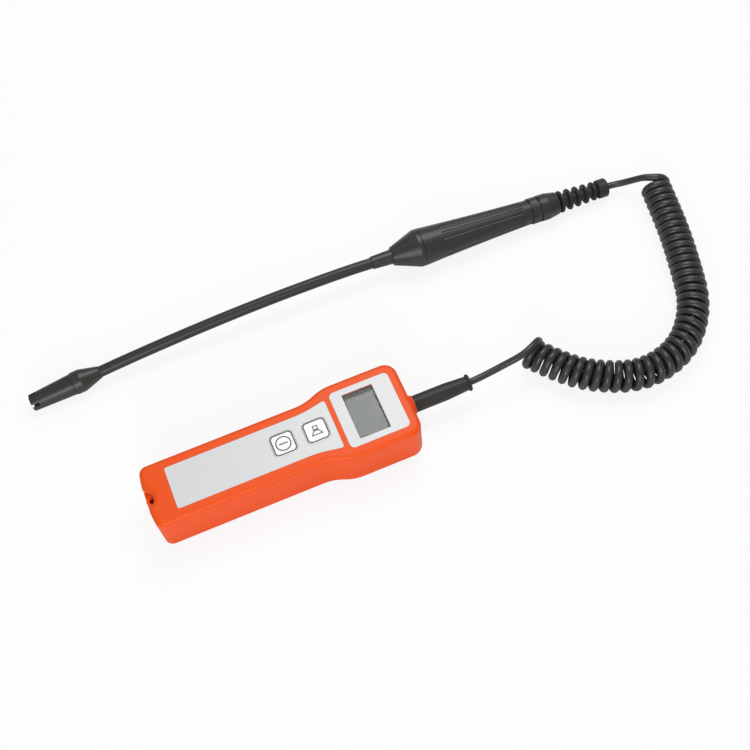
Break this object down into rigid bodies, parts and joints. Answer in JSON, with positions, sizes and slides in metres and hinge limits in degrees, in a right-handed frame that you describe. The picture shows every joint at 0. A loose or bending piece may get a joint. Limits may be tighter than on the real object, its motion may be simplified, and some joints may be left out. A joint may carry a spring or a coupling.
{
  "type": "flue gas analyzer",
  "caption": "Hand-held gas detector with display and press keys, joined by a curly cord to a probe handle with a bendable gooseneck and a slotted sensor tip.",
  "frame": {"origin": "middle of the housing's flat back face, which lies on the table", "axes": "+X to the right of the upright display, +Y along the housing towards the display and the cable outlet, +Z out of the front face, away from the table"},
  "size_m": [0.161, 0.4342, 0.0323],
  "materials": {
    "housing_orange": "fine spark-eroded grain, satin sheen",
    "film_grey": "smooth printed film, soft sheen",
    "window_clear": "clear polycarbonate, polished",
    "key_white": "smooth, soft sheen, dark printed outline",
    "lcd_grey": "grey-green display glass",
    "board_green": "solder-resist lacquer",
    "black_moulding": "moulded, dull",
    "connector_cream": "moulded nylon",
    "collet_nylon": "moulded nylon",
    "handle_black": "fine grain, low sheen",
    "soft_black": "soft moulded, low sheen",
    "neck_sheath": "smooth shrunk sheath, low sheen",
    "cord_black": "extruded jacket, satin",
    "screw_steel": "zinc-plated",
    "contact_nickel": "nickel-plated spring sheet",
    "cell_jacket": "printed cell jacket, bare of marks",
    "sensor_steel": "drawn can",
    "filter_mesh": "sintered disc"
  },
  "bodies": {
    "instrument": {"front_housing": "housing_orange", "back_shell": "housing_orange", "housing_screws": "screw_steel", "battery_cover": "housing_orange", "cover_screw": "screw_steel", "battery_cells": "cell_jacket", "battery_contacts": "contact_nickel", "display_film": "film_grey", "keypad_film": "film_grey", "display_window": "window_clear", "main_board": "board_green", "lcd_module": "lcd_grey", "key_switches": "black_moulding", "buzzer": "black_moulding", "lead_connector": "connector_cream", "board_screws": "screw_steel", "cable_sleeve": "soft_black", "nose_cone": "handle_black", "handle_grip": "handle_black", "handle_collar": "handle_black", "cap_nut": "handle_black", "cord_collet": "collet_nylon", "bend_protector": "soft_black", "gooseneck_ferrule": "handle_black", "gooseneck_root_end": "neck_sheath", "cord_unit_tail": "cord_black", "cord_coil": "cord_black", "cord_probe_tail": "cord_black"},
    "power_key": {"power_key": "key_white"},
    "tone_key": {"tone_key": "key_white"},
    "gooseneck_span_1": {"gooseneck_span_1": "neck_sheath"},
    "gooseneck_span_2": {"gooseneck_span_2": "neck_sheath"},
    "gooseneck_span_3": {"gooseneck_span_3": "neck_sheath"},
    "gooseneck_span_4": {"gooseneck_span_4": "neck_sheath"},
    "gooseneck_span_5": {"gooseneck_span_5": "neck_sheath"},
    "sensor_head": {"gooseneck_head_end": "neck_sheath", "sensor_boot": "handle_black", "tip_cap": "handle_black", "sensor_element": "sensor_steel", "sensor_filter": "filter_mesh", "sensor_socket": "black_moulding"}
  },
  "joints": [
    {"name": "power_key_press", "type": "slide", "parent": "instrument", "child": "power_key", "axis": [0, 0, -1], "range_m": [0, 0.00045], "stiffness_N_per_m": 700, "springref_m": -0.0002},
    {"name": "tone_key_press", "type": "slide", "parent": "instrument", "child": "tone_key", "axis": [0, 0, -1], "range_m": [0, 0.00045], "stiffness_N_per_m": 700, "springref_m": -0.0002},
    {"name": "gooseneck_bend_1", "type": "hinge", "parent": "instrument", "child": "gooseneck_span_1", "pos_m": [-0.10573, 0.08475, 0.01434], "axis": [-1, 0, 0], "range_deg": [-15, 15]},
    {"name": "gooseneck_bend_2", "type": "hinge", "parent": "gooseneck_span_1", "child": "gooseneck_span_2", "pos_m": [-0.10637, 0.05391, 0.01448], "axis": [-1, 0, 0], "range_deg": [-15, 15]},
    {"name": "gooseneck_bend_3", "type": "hinge", "parent": "gooseneck_span_2", "child": "gooseneck_span_3", "pos_m": [-0.10673, 0.02308, 0.01396], "axis": [-1, 0, 0], "range_deg": [-15, 15]},
    {"name": "gooseneck_bend_4", "type": "hinge", "parent": "gooseneck_span_3", "child": "gooseneck_span_4", "pos_m": [-0.10672, -0.00774, 0.01282], "axis": [-1, 0, 0], "range_deg": [-15, 15]},
    {"name": "gooseneck_bend_5", "type": "hinge", "parent": "gooseneck_span_4", "child": "gooseneck_span_5", "pos_m": [-0.10631, -0.03854, 0.01127], "axis": [-1, 0, 0], "range_deg": [-15, 15]},
    {"name": "gooseneck_bend_6", "type": "hinge", "parent": "gooseneck_span_5", "child": "sensor_head", "pos_m": [-0.10554, -0.06932, 0.00949], "axis": [-1, 0, 0], "range_deg": [-15, 15]}
  ]
}
